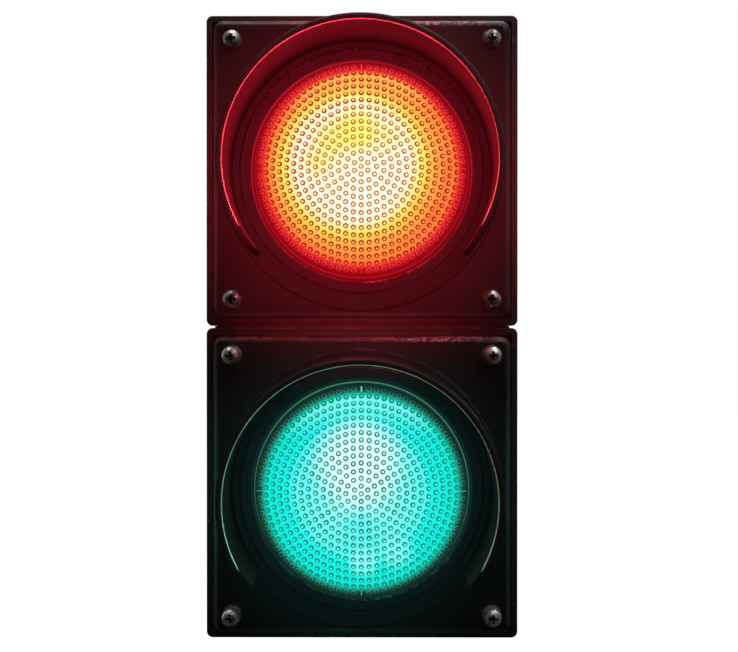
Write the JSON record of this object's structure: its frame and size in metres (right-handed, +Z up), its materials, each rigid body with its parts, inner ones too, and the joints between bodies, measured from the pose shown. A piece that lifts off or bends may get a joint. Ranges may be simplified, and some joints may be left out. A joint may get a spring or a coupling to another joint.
{
  "type": "traffic signal head",
  "caption": "Two-section traffic signal head, red over green, with domed beaded lenses, twist-lock cut-away visors, screwed covers and wiring inside.",
  "frame": {"origin": "centre of the lower section's four mounting inserts, on its back face", "axes": "+Z up, the lenses face -Y, +X to the right when seen from the front"},
  "size_m": [0.15, 0.1525, 0.2999],
  "materials": {
    "housing_black": "satin moulded polycarbonate",
    "cover_black": "satin moulded polycarbonate, edges worn",
    "visor_black": "satin moulded polycarbonate",
    "lens_red": "clear red, lit from behind",
    "lens_green": "clear green, lit from behind",
    "screw_steel": "dull zinc plate",
    "inner_steel": "bright zinc plate",
    "rubber": "matt",
    "nylon_black": "fine grain",
    "brass": "machined",
    "board_green": "solder mask",
    "led_clear": "clear epoxy",
    "diffuser_white": "frosted",
    "components": "mixed",
    "terminal_grey": "moulded nylon",
    "cable_black": "smooth sheath",
    "lead_red": "insulation"
  },
  "bodies": {
    "lower_section": {"lower_housing": "housing_black", "lower_gasket": "rubber", "lower_driver_board": "board_green", "lower_board_spacers": "inner_steel", "lower_board_screws": "inner_steel", "lower_led_board": "board_green", "lower_leds": "led_clear", "lower_diffuser": "diffuser_white", "lower_driver_components": "components", "lower_terminal_block": "terminal_grey", "lower_terminal_screws": "inner_steel", "lower_led_leads": "lead_red", "lower_mounting_inserts": "brass", "coupling_nipple": "inner_steel", "coupling_washers": "inner_steel", "coupling_nuts": "inner_steel", "coupling_spacer": "nylon_black", "coupling_seals": "rubber", "gland_washer": "rubber", "gland_body": "nylon_black", "gland_locknut": "nylon_black", "gland_seal": "rubber", "lower_link_cable": "cable_black", "bottom_plug": "nylon_black", "bottom_plug_seal": "rubber", "bottom_plug_nut": "inner_steel"},
    "upper_section": {"upper_housing": "housing_black", "upper_gasket": "rubber", "upper_driver_board": "board_green", "upper_board_spacers": "inner_steel", "upper_board_screws": "inner_steel", "upper_led_board": "board_green", "upper_leds": "led_clear", "upper_diffuser": "diffuser_white", "upper_driver_components": "components", "upper_terminal_block": "terminal_grey", "upper_terminal_screws": "inner_steel", "upper_led_leads": "lead_red", "upper_mounting_inserts": "brass", "upper_link_cable": "cable_black", "top_plug": "nylon_black", "top_plug_seal": "rubber", "top_plug_nut": "inner_steel"},
    "gland_nut": {"gland_nut": "nylon_black"},
    "lower_cover": {"lower_cover": "cover_black", "lower_lens": "lens_green", "lower_lens_seal": "rubber", "lower_lens_retainer": "nylon_black", "lower_retainer_screws": "inner_steel"},
    "lower_screws": {"lower_cover_screws": "screw_steel", "lower_cover_washers": "screw_steel"},
    "lower_visor": {"lower_visor": "visor_black"},
    "upper_cover": {"upper_cover": "cover_black", "upper_lens": "lens_red", "upper_lens_seal": "rubber", "upper_lens_retainer": "nylon_black", "upper_retainer_screws": "inner_steel"},
    "upper_screws": {"upper_cover_screws": "screw_steel", "upper_cover_washers": "screw_steel"},
    "upper_visor": {"upper_visor": "visor_black"}
  },
  "joints": [
    {"name": "upper_section_swivel", "type": "hinge", "parent": "lower_section", "child": "upper_section", "pos_m": [0, -0.029, 0.07655], "axis": [0, 0, 1], "range_deg": [-90, 90]},
    {"name": "gland_nut_turn", "type": "hinge", "parent": "lower_section", "child": "gland_nut", "pos_m": [0, 0.01, -0.05], "axis": [0, 1, 0], "range_deg": [0, 720]},
    {"name": "lower_cover_lift", "type": "slide", "parent": "lower_section", "child": "lower_cover", "axis": [0, -1, 0], "range_m": [0, 0.05]},
    {"name": "lower_screws_out", "type": "slide", "parent": "lower_cover", "child": "lower_screws", "axis": [0, -1, 0], "range_m": [0, 0.012]},
    {"name": "lower_visor_twist", "type": "hinge", "parent": "lower_cover", "child": "lower_visor", "pos_m": [0, -0.08, 0], "axis": [0, -1, 0], "range_deg": [0, 20]},
    {"name": "upper_cover_lift", "type": "slide", "parent": "upper_section", "child": "upper_cover", "axis": [0, -1, 0], "range_m": [0, 0.05]},
    {"name": "upper_screws_out", "type": "slide", "parent": "upper_cover", "child": "upper_screws", "axis": [0, -1, 0], "range_m": [0, 0.012]},
    {"name": "upper_visor_twist", "type": "hinge", "parent": "upper_cover", "child": "upper_visor", "pos_m": [0, -0.08, 0.1505], "axis": [0, -1, 0], "range_deg": [0, 20]}
  ]
}
